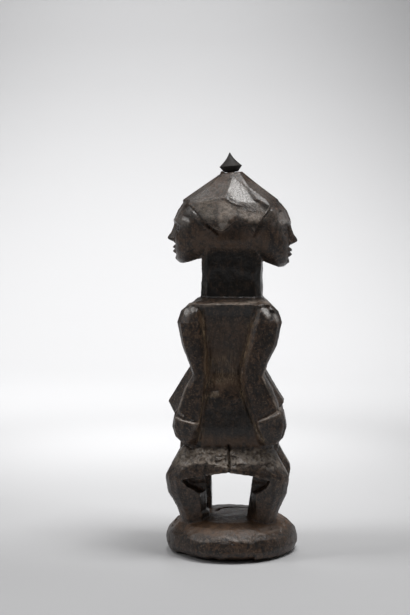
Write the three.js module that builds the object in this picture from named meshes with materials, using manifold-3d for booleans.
// A janus figure in dark hardwood: two half figures back to back, carved with one round foot from one
// log, and a loose stopper in the crown. Millimetres, +Z up, origin under the middle of the foot.
// The faces look along -X and +X. In a half figure's own frame u runs from the middle towards its face,
// v runs across it, along Y, and z is height.
import * as THREE from "three";
import { mergeVertices } from "three/addons/utils/BufferGeometryUtils.js";
import Module from "manifold-3d";

const wasm = await Module();
wasm.setup();

// Driving heights of the carving, from the ground up.
const FOOT_RIM = 14;
const FOOT_TOP = 26.8;
const KNEE = 55;
const CROTCH = 61.5;
const THIGH_TOP = 77.5;
const HAND_TIP = 81;
const WAIST = 127;
const SHOULDER = 178;
const JAW = 203;
const CROWN = 266;

// The round foot, which keeps nearly the whole girth of the log.
const FOOT_RADIUS = 46.5;
const FOOT_SIDES = 36;

// Half widths across the figure, along Y. The legs stand closer together at the ground than at the knee.
const SHIN_INSIDE = 6;
const SHIN_OUTSIDE = 22;
const KNEE_INSIDE = 12;
const KNEE_OUTSIDE = 34;
const THIGH_OUTSIDE = 38;
const ARM_INSIDE = 20;
const ARM_OUTSIDE = 38;
const TRUNK_HALF = 30;
const NECK_HALF = 20;

// How far in from the corner that it takes off the middle of a large bevel stands, as a share of the cut.
const BEVEL_SWELL = 0.3;

// The arms on the side of +Y stand this much further towards -X, their shoulders are this much lower, and
// the roof over them is narrower by this share.
const ARM_SKEW = 3;
const SHOULDER_DROP = 4;
const FAR_ROOF = 0.9;

// What differs between the half figures: the carver didn't repeat the sizes. Reaches are along u.
const HALVES = [
  {
    side: -1,
    knee: 44.6,
    ankle: 34,
    shank: 19.4,
    heel: 14.4,
    ham: 15.8,
    pocket: 32.6,
    belly: 44,
    shoulder: 35.6,
    armpit: 17,
    elbow: 24,
    elbowBack: 13.6,
    wristBack: 19,
    hand: 38.9,
    chinDrop: 0,
  },
  {
    side: 1,
    knee: 41.2,
    ankle: 32,
    shank: 19,
    heel: 10.8,
    ham: 16.6,
    pocket: 28.8,
    belly: 37,
    shoulder: 36,
    armpit: 17.5,
    elbow: 23.5,
    elbowBack: 7.6,
    wristBack: 17.5,
    hand: 39.4,
    chinDrop: 2.5,
  },
];

// The loose stopper and the hole in the crown that its peg stands in. Both lean a little towards -X.
const CROWN_LEAN = THREE.MathUtils.degToRad(4.5);
const STOPPER_TIP = 280;
const STOPPER_RIM = 270.4;
const STOPPER_RADIUS = 7.8;
const STOPPER_FOOT = 4.8;
const PEG_RADIUS = 2.6;
const PEG_LENGTH = 9;
const CLEARANCE = 0.3;
const STOPPER_SIDES = 24;
const STOPPER_SHIFT = -0.5;

// The head of one half figure at rising heights above the jaw: how far it reaches forward, where it is
// widest, its half width there, and its half width at the nape, where it runs into the other head.
const HEAD = [
  { rise: 0, front: 36, middle: 28, half: 11, nape: 17 },
  { rise: 3, front: 38.6, middle: 27, half: 16, nape: 20.5 },
  { rise: 9, front: 39.6, middle: 24, half: 21, nape: 22.5 },
  { rise: 16, front: 39.6, middle: 20, half: 24, nape: 22.5 },
  { rise: 25, front: 39, middle: 18, half: 25.2, nape: 22.5 },
  { rise: 31, front: 39.4, middle: 17.5, half: 25.4, nape: 23 },
  { rise: 37, front: 36.8, middle: 17, half: 24.8, nape: 23 },
  { rise: 43, front: 31.6, middle: 15.5, half: 22.4, nape: 21 },
  { rise: 49, front: 21, middle: 9, half: 15, nape: 14 },
];
const HEAD_SQUARENESS = 2.5;

// The jaw's edge rises from the chin towards the nape, less and less up the head.
const JAW_LIFT = 11;
const JAW_FADE = 24;
const JAW_HALF = 21;
const NAPE_OVERLAP = 5;

// The face, in even thirds from the hairline down to the chin. Rises are above the jaw.
const FACE = {
  hairline: 43.5,
  brow: 29.4,
  eye: 25,
  noseTip: 16.6,
  noseBase: 14.6,
  mouth: 9.7,
  chin: 2.8,
  eyeOut: 9.8,
  eyeHalf: 5.9,
  lidHalf: 3.4,
  noseHalf: 4.6,
  noseReach: 6.4,
  mouthHalf: 7.2,
};
const FACE_STEP = 1.5;

// The cap of hair at rising heights: how far it reaches over each face, where its corners stand on that
// side and how far out, and its half width on the middle line.
const CAP = [
  { z: CROWN - 46, left: 32, right: 31, leftCorner: 28, rightCorner: 28, cornerHalf: 24, half: 30 },
  { z: CROWN - 36, left: 34.5, right: 33.5, leftCorner: 30, rightCorner: 29, cornerHalf: 25, half: 30.6 },
  { z: CROWN - 29, left: 34.6, right: 33.5, leftCorner: 30, rightCorner: 28.4, cornerHalf: 24.6, half: 29.3 },
  { z: CROWN - 23, left: 34.6, right: 33.4, leftCorner: 29, rightCorner: 27.6, cornerHalf: 22.6, half: 27 },
  { z: CROWN - 19, left: 33.9, right: 32.4, leftCorner: 27, rightCorner: 25, cornerHalf: 20.4, half: 25 },
  { z: CROWN - 10, left: 21, right: 20.3, leftCorner: 14.4, rightCorner: 12.6, cornerHalf: 14, half: 17.4 },
  { z: CROWN, left: 7.4, right: 7, leftCorner: 5.8, rightCorner: 5.8, cornerHalf: 6, half: 7.5 },
];

// The cap's lower edge seen from the side, from one forehead to the other: down along the hairline, up in
// an arch over the nape, and up along the other hairline.
const CAP_EDGE = [
  [-60, 246],
  [-30, 245.4],
  [-17, 231.6],
  [-9.5, 227.2],
  [-4.8, 225.8],
  [-0.8, 228.8],
  [3, 232.2],
  [6.6, 233.2],
  [11.3, 231.6],
  [15.3, 228.2],
  [17.2, 225],
  [22.6, 233.8],
  [27.3, 240.8],
  [31.6, 245.6],
  [60, 246],
];

// How far up into the cap the heads run.
const HAIR_OVERLAP = 1.4;

const clamp = THREE.MathUtils.clamp;
const lerp = THREE.MathUtils.lerp;

// 1 at the middle of a swelling and 0 at its edge, level at both.
const swell = (...distances) => Math.max(0, 1 - Math.hypot(...distances) ** 2) ** 2;

// A smooth curve through the stations' values of one name, read at a height.
function along(stations, key, name, at) {
  const last = stations.length - 1;
  if (at <= stations[0][key]) return stations[0][name];
  if (at >= stations[last][key]) return stations[last][name];
  const i = stations.findIndex((s) => s[key] > at) - 1;
  const [a, b] = [stations[i], stations[i + 1]];
  const slope = (p, q) => (q[name] - p[name]) / (q[key] - p[key]);
  const before = slope(stations[Math.max(i - 1, 0)], b);
  const after = slope(a, stations[Math.min(i + 2, last)]);
  const span = b[key] - a[key];
  const t = (at - a[key]) / span;
  return (
    a[name] * (1 + 2 * t) * (1 - t) ** 2 +
    before * span * t * (1 - t) ** 2 +
    b[name] * (3 - 2 * t) * t ** 2 +
    after * span * (t - 1) * t ** 2
  );
}

// A closed solid from triangles given by an index.
function solidOf(positions, index) {
  const geometry = new THREE.BufferGeometry()
    .setAttribute("position", new THREE.Float32BufferAttribute(positions, 3))
    .setIndex(index);
  const merged = mergeVertices(geometry, 1e-4);
  return new wasm.Manifold(
    new wasm.Mesh({
      numProp: 3,
      vertProperties: merged.attributes.position.array,
      triVerts: new Uint32Array(merged.index.array),
    }),
  );
}

// Six times the volume that a list of triangles encloses, negative when they face inwards.
function signedVolume(points, index) {
  const corner = (i) => new THREE.Vector3(...points[i]);
  let sum = 0;
  for (let i = 0; i < index.length; i += 3)
    sum += corner(index[i]).dot(corner(index[i + 1]).cross(corner(index[i + 2])));
  return sum;
}

// A closed solid through rings that have the same number of points. A fan closes each end, and where
// the rings have hollow corners seen along Y, triangles that follow their outline do.
function loft(rings, hollowCorners = false) {
  const count = rings[0].length;
  const points = rings.flat();
  const index = [];
  const next = (i) => (i + 1) % count;
  for (let start = 0; start + count < points.length; start += count)
    for (let i = 0; i < count; i++) {
      const [a, b] = [start + i, start + next(i)];
      index.push(a, b, b + count, a, b + count, a + count);
    }
  const close = (ring, start, turned) => {
    if (hollowCorners) {
      const flat = ring.map(([x, , z]) => new THREE.Vector2(x, z));
      for (const triangle of THREE.ShapeUtils.triangulateShape(flat, [])) {
        const corners = triangle.sort((p, q) => p - q).map((i) => start + i);
        index.push(...(turned ? corners.reverse() : corners));
      }
      return;
    }
    const middle = [0, 1, 2].map((k) => ring.reduce((sum, p) => sum + p[k], 0) / count);
    points.push(middle);
    for (let i = 0; i < count; i++) {
      const [a, b] = [start + i, start + next(i)];
      index.push(points.length - 1, ...(turned ? [b, a] : [a, b]));
    }
  };
  close(rings[0], 0, true);
  close(rings.at(-1), (rings.length - 1) * count, false);
  if (signedVolume(points, index) < 0) index.reverse();
  return solidOf(points.flat(), index);
}

// A ring with cut corners. back and front are [u, z], and the ring tilts with the line between them.
// bevel is the larger cut on the corner that faces forward and out, where the log's round side was. It
// swells between its two ends.
function ring(side, back, front, low, high, cut, bevel = cut) {
  const slant = Math.min(bevel, front[0] - back[0] - cut - 1);
  const outline = [
    [back[0] + cut, low],
    [front[0] - cut, low],
    [front[0], low + cut],
    [front[0], high - bevel],
    [front[0] - slant, high],
    [back[0] + cut, high],
    [back[0], high - cut],
    [back[0], low + cut],
  ];
  if (bevel > cut) outline.splice(4, 0, [front[0] - BEVEL_SWELL * slant, high - BEVEL_SWELL * bevel]);
  return outline.map(([u, v]) => {
    const share = (u - back[0]) / (front[0] - back[0]);
    return [side * u, v, lerp(back[1], front[1], share)];
  });
}

// A level ring that takes in both half figures, from x = -left to x = right.
const band = (z, left, right, half, cut) => ring(1, [-left, z], [right, z], -half, half, cut);

// A solid made for the side of +Y and its mirror image on the side of -Y.
const onBothSides = (solid) => solid.add(solid.mirror([0, 1, 0]));

// A wedge-shaped groove along a line from a to b, cut with its flat side outwards.
function groove(a, b, out, width, depth) {
  const start = new THREE.Vector3(...a);
  const end = new THREE.Vector3(...b);
  const outwards = new THREE.Vector3(...out).normalize();
  const across = end.clone().sub(start).cross(outwards).setLength(width / 2);
  const section = (point) => [
    point.clone().addScaledVector(outwards, -depth).toArray(),
    point.clone().add(across).addScaledVector(outwards, depth).toArray(),
    point.clone().sub(across).addScaledVector(outwards, depth).toArray(),
  ];
  return loft([section(start), section(end)]);
}

// The foot: a round slab with a rounded side, domed on top, and not quite true.
function foot() {
  const profile = [
    [FOOT_RADIUS - 4, 0],
    [FOOT_RADIUS - 1.4, 2.2],
    [FOOT_RADIUS, 7],
    [FOOT_RADIUS - 1, FOOT_RIM],
    [FOOT_RADIUS - 4.4, FOOT_RIM + 4.2],
    [FOOT_RADIUS - 9, FOOT_RIM + 7.8],
    [FOOT_RADIUS - 17, FOOT_RIM + 10.6],
    [FOOT_RADIUS - 32, FOOT_TOP - 0.6],
  ];
  const wobble = (angle) => 1 + 0.006 * Math.sin(3 * angle + 0.8) + 0.004 * Math.sin(7 * angle + 2);
  return loft(
    profile.map(([radius, z]) =>
      Array.from({ length: FOOT_SIDES }, (_, i) => {
        const angle = (2 * Math.PI * i) / FOOT_SIDES;
        const reach = radius * wobble(angle);
        return [reach * Math.cos(angle), reach * Math.sin(angle), z];
      }),
    ),
  );
}

// One leg, as outlines across it from its inner face to its outer one. The shin leans out and forward to
// the knee, and the thigh runs back to the middle. Towards the outer face a pocket opens behind the knee
// and the back of the shin slants forward. There the knee and the ridge of the thigh also stand back and
// down, where the round side of the log was.
function leg({ side, knee, ankle, shank, heel, ham, pocket }) {
  const low = FOOT_TOP - 7;
  const under = CROTCH - 2.4;
  const outline = [
    { u: ankle - 1, z: low, back: 5 },
    { u: lerp(ankle, knee, 0.25), z: KNEE - 23, back: 6 },
    { u: lerp(ankle, knee, 0.84), z: KNEE - 11, back: 8 },
    { u: knee, z: KNEE - 1, back: 9 },
    { u: knee - 0.3, z: KNEE + 2, back: 9 },
    { u: knee - 2.8, z: KNEE + 6.5, back: 8, drop: 2 },
    { u: knee - 5.4, z: KNEE + 11, back: 8, drop: 3.4 },
    { u: knee - 9.3, z: KNEE + 18, back: 9, drop: 6 },
    { u: knee - 13, z: THIGH_TOP, back: 10, drop: 9.3 },
    { u: 4, z: THIGH_TOP, drop: 11 },
    { u: -1, z: THIGH_TOP, drop: 14 },
    { u: -1, z: CROTCH },
    { u: ham / 2, z: lerp(CROTCH, under, 0.5) },
    { u: ham, z: under },
    { hollow: pocket, z: KNEE + 0.4 },
    { hollow: lerp(shank, pocket, 0.72), z: KNEE - 4.4 },
    { slant: shank, z: KNEE - 10 },
    { slant: shank - 0.4, z: KNEE - 23 },
    { slant: shank - 0.8, z: low },
  ];
  const levels = [
    { share: 0, pull: 0.4, fall: 0, open: 0, cut: 0 },
    { share: 0.18, pull: 0, fall: 0, open: 0, cut: 0 },
    { share: 0.5, pull: 0, fall: 0, open: 0, cut: 0 },
    { share: 0.6, pull: 0.1, fall: 0.1, open: 0.9, cut: 0.25 },
    { share: 0.78, pull: 0.36, fall: 0.3, open: 1, cut: 0.6 },
    { share: 1, pull: 1, fall: 1, open: 1, cut: 1 },
  ];
  const across = (u, z, share) => {
    const up = clamp((z - low) / (KNEE - low), 0, 1);
    const inner = lerp(SHIN_INSIDE, KNEE_INSIDE, up);
    const thigh = lerp(THIGH_OUTSIDE, KNEE_OUTSIDE, clamp((u - knee + 26) / 18, 0, 1));
    return lerp(inner, z > KNEE ? thigh : lerp(SHIN_OUTSIDE, KNEE_OUTSIDE, up), share);
  };
  const rings = levels.map(({ share, pull, fall, open, cut }) =>
    outline.map(({ u, hollow, slant, z, back = 0, drop = 0 }) => {
      const rear = lerp(heel, ham, (z - low) / (under - low));
      const reach = u ?? (hollow ? lerp(rear, hollow, open) : lerp(rear, slant, cut));
      const at = reach - pull * back;
      return [side * at, across(at, z, share), z - fall * drop];
    }),
  );
  return loft(rings, true);
}

// The pelvis, which carries the four thighs and runs out to the lap under each belly.
function pelvis() {
  return loft([
    band(CROTCH + 0.5, 22, 22, 20, 6),
    band(CROTCH + 6, 31, 30, 22, 7),
    band(THIGH_TOP - 4, 35.5, 33.5, 20, 8),
    band(THIGH_TOP + 3, 35.2, 33, 18, 8),
    band(THIGH_TOP + 9, 30, 30, 18, 8),
  ]);
}

// The crack between the thighs on each side.
function crotchCracks() {
  const crack = groove([0.4, 37, CROTCH - 3], [-0.4, 28.5, THIGH_TOP + 0.5], [0, 1, 0.45], 1.6, 2.6);
  return crack.add(crack.mirror([0, 1, 0]));
}

// The trunk that both half figures share, from the hips to the shoulders' low roof round the neck.
function trunk() {
  const flat = loft([
    band(THIGH_TOP - 6, 30, 30, TRUNK_HALF - 2, 6),
    band(HAND_TIP + 10, 31, 31, TRUNK_HALF, 6),
    band(WAIST - 15, 26, 25, TRUNK_HALF - 0.5, 6),
    band(WAIST - 7, 24, 22, TRUNK_HALF - 3, 6),
    band(WAIST + 1, 22, 21, TRUNK_HALF - 5.5, 5),
    band(WAIST + 22, 26, 26, TRUNK_HALF - 2, 5),
    band(SHOULDER - 15, 28.5, 29, TRUNK_HALF, 5),
    band(SHOULDER - 8, 28, 29, TRUNK_HALF + 1, 5),
  ]);
  const sloping = [
    { near: SHOULDER - 9, far: SHOULDER - 9, left: 28, right: 29, half: TRUNK_HALF + 1, cut: 5 },
    { near: SHOULDER - 4.5, far: SHOULDER - 6.5, left: 28.6, right: 29.4, half: TRUNK_HALF + 2.5, cut: 4 },
    { near: SHOULDER - 1.6, far: SHOULDER - 5.5, left: 27.6, right: 28.8, half: TRUNK_HALF + 3.5, cut: 3.5 },
    { near: SHOULDER + 2, far: SHOULDER + 1.5, left: 22, right: 22.5, half: NECK_HALF + 1, cut: 5 },
  ].map(({ near, far, left, right, half, cut }) =>
    band(0, left, right, half, cut).map(([x, y]) => {
      const narrow = y > 0 ? FAR_ROOF : 1;
      return [x * narrow, y, lerp(near, far, (y + half) / (2 * half))];
    }),
  );
  return flat.add(loft(sloping));
}

// The belly: a keel that runs out to the navel and back in below it.
function belly({ side, belly }) {
  const level = (z, front, half, cut) => ring(side, [5, z], [front, z], -half, half, cut);
  return loft([
    level(HAND_TIP, belly - 9, 14, 5),
    level(HAND_TIP + 14, belly - 6, 17, 7),
    level(HAND_TIP + 25, belly, 18, 10),
    level(WAIST + 2, belly - 14, 15, 7),
    level(WAIST + 18, belly - 24, 10, 4),
  ]);
}

// One arm from the shoulder to the wrist: wide at the top, narrow at the elbow, wide again at the wrist.
function arm({ side, shoulder, armpit, elbow, elbowBack, wristBack }, drop) {
  const level = (z, back, front, inset, cut, bevel) =>
    ring(side, [back, z], [front, z], ARM_INSIDE, ARM_OUTSIDE - inset, cut, bevel);
  const back = (share) => lerp(armpit, elbowBack, share);
  return loft([
    ring(side, [wristBack, WAIST - 31], [35.5, WAIST - 24], ARM_INSIDE - 4, ARM_OUTSIDE, 3, 6),
    level(WAIST - 8, elbowBack + 2, elbow + 5.8, 0, 3.5, 4.5),
    level(WAIST + 1, elbowBack, elbow + 0.2, 0, 3.5, 4),
    level(WAIST + 9, back(0.85), elbow + 3, 0, 4, 5),
    level(WAIST + 22, back(0.58), shoulder - 3.2, 0, 4.5, 7),
    level(SHOULDER - 14 - drop / 2, back(0.25), shoulder, 0.5, 5, 8.5),
    level(SHOULDER - 6.5 - drop, back(0.1), shoulder - 2.6, 3, 5, 8),
    level(SHOULDER - 1 - drop, armpit, shoulder - 8, 7, 4, 5),
  ]);
}

// One hand: a plain block that stands a little proud of the wrist and rests on the thigh.
function hand({ side, wristBack, hand }) {
  const edge = (back, front, high, cut, bevel) =>
    ring(side, back, front, ARM_INSIDE - 8, high, cut, bevel);
  return loft([
    edge([wristBack + 4, HAND_TIP - 1.5], [hand - 6, HAND_TIP - 0.5], ARM_OUTSIDE - 4, 4, 6),
    edge([wristBack + 2, HAND_TIP + 3], [hand - 2, HAND_TIP + 4], ARM_OUTSIDE - 1, 4.5, 7),
    edge([wristBack, HAND_TIP + 10], [hand, HAND_TIP + 11], ARM_OUTSIDE + 1, 4.5, 7),
    edge([wristBack, WAIST - 31.5], [hand - 2, WAIST - 24.5], ARM_OUTSIDE + 1.2, 3.5, 6),
    edge([wristBack + 1, WAIST - 30.5], [hand - 3.2, WAIST - 23.5], ARM_OUTSIDE, 3, 5.5),
  ]);
}

// The neck: one square column with cut corners under both heads.
function neck() {
  return loft([
    band(SHOULDER - 4, 20.8, 21.4, NECK_HALF + 0.5, 4.5),
    band(SHOULDER + 14, 20, 21, NECK_HALF - 0.5, 4.5),
    band(JAW + 14, 20, 21.5, NECK_HALF, 4.5),
  ]);
}

// How far the carved features stand out of the plain mask of the face, at v across and rise above the jaw.
function relief(v, rise) {
  const across = Math.abs(v);
  const arch = FACE.brow + 1.8 * swell((across - FACE.eyeOut) / 12) - 1.4;
  const brow = 1.5 * swell((rise - arch) / 3.4) * (1 - clamp((across - 15) / 8, 0, 1));
  const toEye = (across - FACE.eyeOut) / FACE.eyeHalf;
  const socket = 2.4 * swell(toEye * 0.66, (rise - FACE.eye + 0.4) / 6.4);
  const lid = 2.5 * swell(toEye, (rise - FACE.eye + 0.4) / FACE.lidHalf);
  const down = clamp((FACE.brow - rise) / (FACE.brow - FACE.noseTip), 0, 1);
  const noseHalf = lerp(2.6, FACE.noseHalf, down ** 1.6);
  const under = clamp((rise - FACE.noseBase) / (FACE.noseTip - FACE.noseBase), 0, 1);
  const nose = lerp(1.2, FACE.noseReach, down) * Math.sqrt(swell(v / noseHalf)) * under;
  const upperLip = 2.1 * swell(v / FACE.mouthHalf, (rise - FACE.mouth - 1.5) / 2.1);
  const lowerLip = 2 * swell(v / (FACE.mouthHalf - 0.8), (rise - FACE.mouth + 1.6) / 2.2);
  const chin = 1.2 * swell(v / 7, (rise - FACE.chin) / 3.6);
  const cheek = 0.9 * swell((across - 14) / 8, (rise - FACE.noseTip - 1) / 6.5);
  return Math.max(brow, nose) - socket + lid + upperLip + lowerLip + chin + cheek;
}

// One head: rings round the mask and the nape, with the face's relief on the front. The lowest rings
// bend up towards the sides and the nape, as a jaw does.
function head({ side, chinDrop }) {
  const steps = 12;
  const angles = [];
  for (let i = -steps; i <= steps; i++) {
    const share = i / steps;
    angles.push((Math.PI / 2) * (0.55 * share + 0.45 * share ** 3));
  }
  const rises = [];
  for (let rise = 0; rise < FACE.hairline; rise += FACE_STEP) rises.push(rise);
  rises.push(FACE.hairline, HEAD.at(-1).rise);
  const rounded = (x) => Math.sign(x) * Math.abs(x) ** (2 / HEAD_SQUARENESS);
  return loft(
    rises.map((rise) => {
      const at = (name) => along(HEAD, "rise", name, rise);
      const [middle, half, nape] = [at("middle"), at("half"), at("nape")];
      const place = (u, v) => {
        const behind = clamp((34 - u) / 22, 0, 1);
        const outer = clamp(Math.abs(v) / JAW_HALF, 0, 1) ** 1.3;
        const lift = JAW_LIFT * behind * outer * clamp(1 - rise / JAW_FADE, 0, 1);
        const drop = chinDrop * (1 - behind) * clamp(1 - rise / FACE.hairline, 0, 1);
        return [side * u, v, JAW + rise - drop + lift];
      };
      const front = angles.map((angle) => {
        const forward = rounded(Math.cos(angle));
        const v = half * rounded(Math.sin(angle));
        const fade = clamp(forward * 3, 0, 1);
        return place(middle + (at("front") - middle) * forward + fade * relief(v, rise), v);
      });
      const back = [
        [middle * 0.62, lerp(half, nape, 0.6)],
        [middle * 0.28, nape],
        [-NAPE_OVERLAP, nape],
      ];
      const nearBack = back.map(([u, v]) => place(u, -v)).reverse();
      return [...front, ...back.map(([u, v]) => place(u, v)), ...nearBack];
    }),
  );
}

// A solid that runs across the figure, along Y, with an outline given in x and z.
function prism(outline, half) {
  const shape = new THREE.Shape(outline.map(([x, z]) => new THREE.Vector2(x, z)));
  const geometry = new THREE.ExtrudeGeometry(shape, { depth: 2 * half, bevelEnabled: false })
    .translate(0, 0, -half)
    .rotateX(Math.PI / 2);
  geometry.deleteAttribute("normal");
  geometry.deleteAttribute("uv");
  const merged = mergeVertices(geometry, 1e-4);
  return solidOf([...merged.attributes.position.array], [...merged.index.array]);
}

// All that is above the cap's lower edge, or above a line that runs higher than it by rise.
const aboveHairline = (rise) =>
  prism([...CAP_EDGE.map(([x, z]) => [x, z + rise]), [60, 300], [-60, 300]], 40);

// The cap of hair over both heads: facets that rise to the flat crown, proud of the foreheads by a step.
function cap() {
  const skin = loft(
    CAP.map(({ z, left, right, leftCorner, rightCorner, cornerHalf, half }) => {
      const blunt = 0.2 * cornerHalf;
      const lean = z === CROWN ? Math.tan(CROWN_LEAN) : 0;
      const outline = [
        [right, -blunt],
        [right, blunt],
        [rightCorner, cornerHalf],
        [0, half],
        [-leftCorner, cornerHalf],
        [-left, blunt],
        [-left, -blunt],
        [-leftCorner, -cornerHalf],
        [0, -half],
        [rightCorner, -cornerHalf],
      ];
      return outline.map(([x, y]) => [x, y, z + x * lean]);
    }),
  );
  return skin.intersect(aboveHairline(0));
}

// A solid of revolution about the Z axis from radius and height pairs that start and end on the axis.
function turned(profile, sides) {
  const lathe = new THREE.LatheGeometry(
    profile.map(([radius, z]) => new THREE.Vector2(radius, z)),
    sides,
  ).rotateX(Math.PI / 2);
  lathe.deleteAttribute("normal");
  lathe.deleteAttribute("uv");
  const merged = mergeVertices(lathe, 1e-4);
  const corners = [...merged.index.array];
  const index = [];
  for (let i = 0; i < corners.length; i += 3) {
    const triangle = corners.slice(i, i + 3);
    if (new Set(triangle).size === 3) index.push(...triangle);
  }
  return solidOf([...merged.attributes.position.array], index);
}

// A solid leaning about the middle of the crown, and set over by shift along X.
function leaning(solid, shift) {
  const degrees = -THREE.MathUtils.radToDeg(CROWN_LEAN);
  return solid
    .translate([0, 0, -CROWN])
    .rotate([0, degrees, 0])
    .translate([shift, 0, CROWN]);
}

// The hole in the crown for the stopper's peg.
function pegHole() {
  const radius = PEG_RADIUS + CLEARANCE;
  const bottom = CROWN - PEG_LENGTH - 2 * CLEARANCE;
  return turned(
    [
      [0, bottom],
      [radius, bottom],
      [radius, CROWN + 5],
      [0, CROWN + 5],
    ],
    STOPPER_SIDES,
  );
}

// The stopper: a small spinning top on a peg, hollow-sided above its sharp rim.
function stopper() {
  const foot = CROWN + CLEARANCE;
  const spire = Array.from({ length: 7 }, (_, i) => {
    const share = (i + 1) / 8;
    return [STOPPER_RADIUS * (1 - share) ** 1.5 + 0.5 * share, lerp(STOPPER_RIM, STOPPER_TIP, share)];
  });
  return turned(
    [
      [0, CROWN - PEG_LENGTH],
      [PEG_RADIUS, CROWN - PEG_LENGTH],
      [PEG_RADIUS, foot],
      [STOPPER_FOOT, foot],
      [STOPPER_RADIUS, STOPPER_RIM - 0.4],
      [STOPPER_RADIUS, STOPPER_RIM],
      ...spire,
      [0, STOPPER_TIP],
    ],
    STOPPER_SIDES,
  );
}

function figure() {
  const hair = aboveHairline(HAIR_OVERLAP);
  let solid = foot().add(pelvis()).add(trunk()).add(neck()).add(cap());
  for (const half of HALVES) {
    const bareHead = head(half).subtract(hair);
    const legs = onBothSides(leg(half));
    const nearArm = arm(half, 0).add(hand(half)).mirror([0, 1, 0]);
    const farArm = arm(half, SHOULDER_DROP).add(hand(half)).translate([-ARM_SKEW, 0, 0]);
    solid = solid.add(legs).add(nearArm).add(farArm).add(belly(half)).add(bareHead);
  }
  return solid.subtract(crotchCracks()).subtract(leaning(pegHole(), STOPPER_SHIFT));
}

// A mesh of a finished solid.
function meshOf(solid, name, material) {
  const { numProp, vertProperties, triVerts } = solid.getMesh();
  const positions = [];
  for (let i = 0; i < vertProperties.length; i += numProp)
    positions.push(...vertProperties.subarray(i, i + 3));
  const geometry = new THREE.BufferGeometry()
    .setAttribute("position", new THREE.Float32BufferAttribute(positions, 3))
    .setIndex([...triVerts]);
  const mesh = new THREE.Mesh(geometry, material);
  mesh.name = name;
  return mesh;
}

const wood = new THREE.MeshStandardMaterial({ color: 0x2b2420, roughness: 0.55, metalness: 0 });
const blackWood = new THREE.MeshStandardMaterial({ color: 0x141210, roughness: 0.4, metalness: 0 });

// The wavy foot reaches a little further on some sides, so the whole is set back over the origin.
const carved = figure();
const { min, max } = carved.boundingBox();
const toMiddle = [-(min[0] + max[0]) / 2, -(min[1] + max[1]) / 2, 0];

const janus = new THREE.Group();
janus.add(meshOf(carved.translate(toMiddle), "figure", wood));
janus.add(meshOf(leaning(stopper(), STOPPER_SHIFT).translate(toMiddle), "stopper", blackWood));

export default janus;
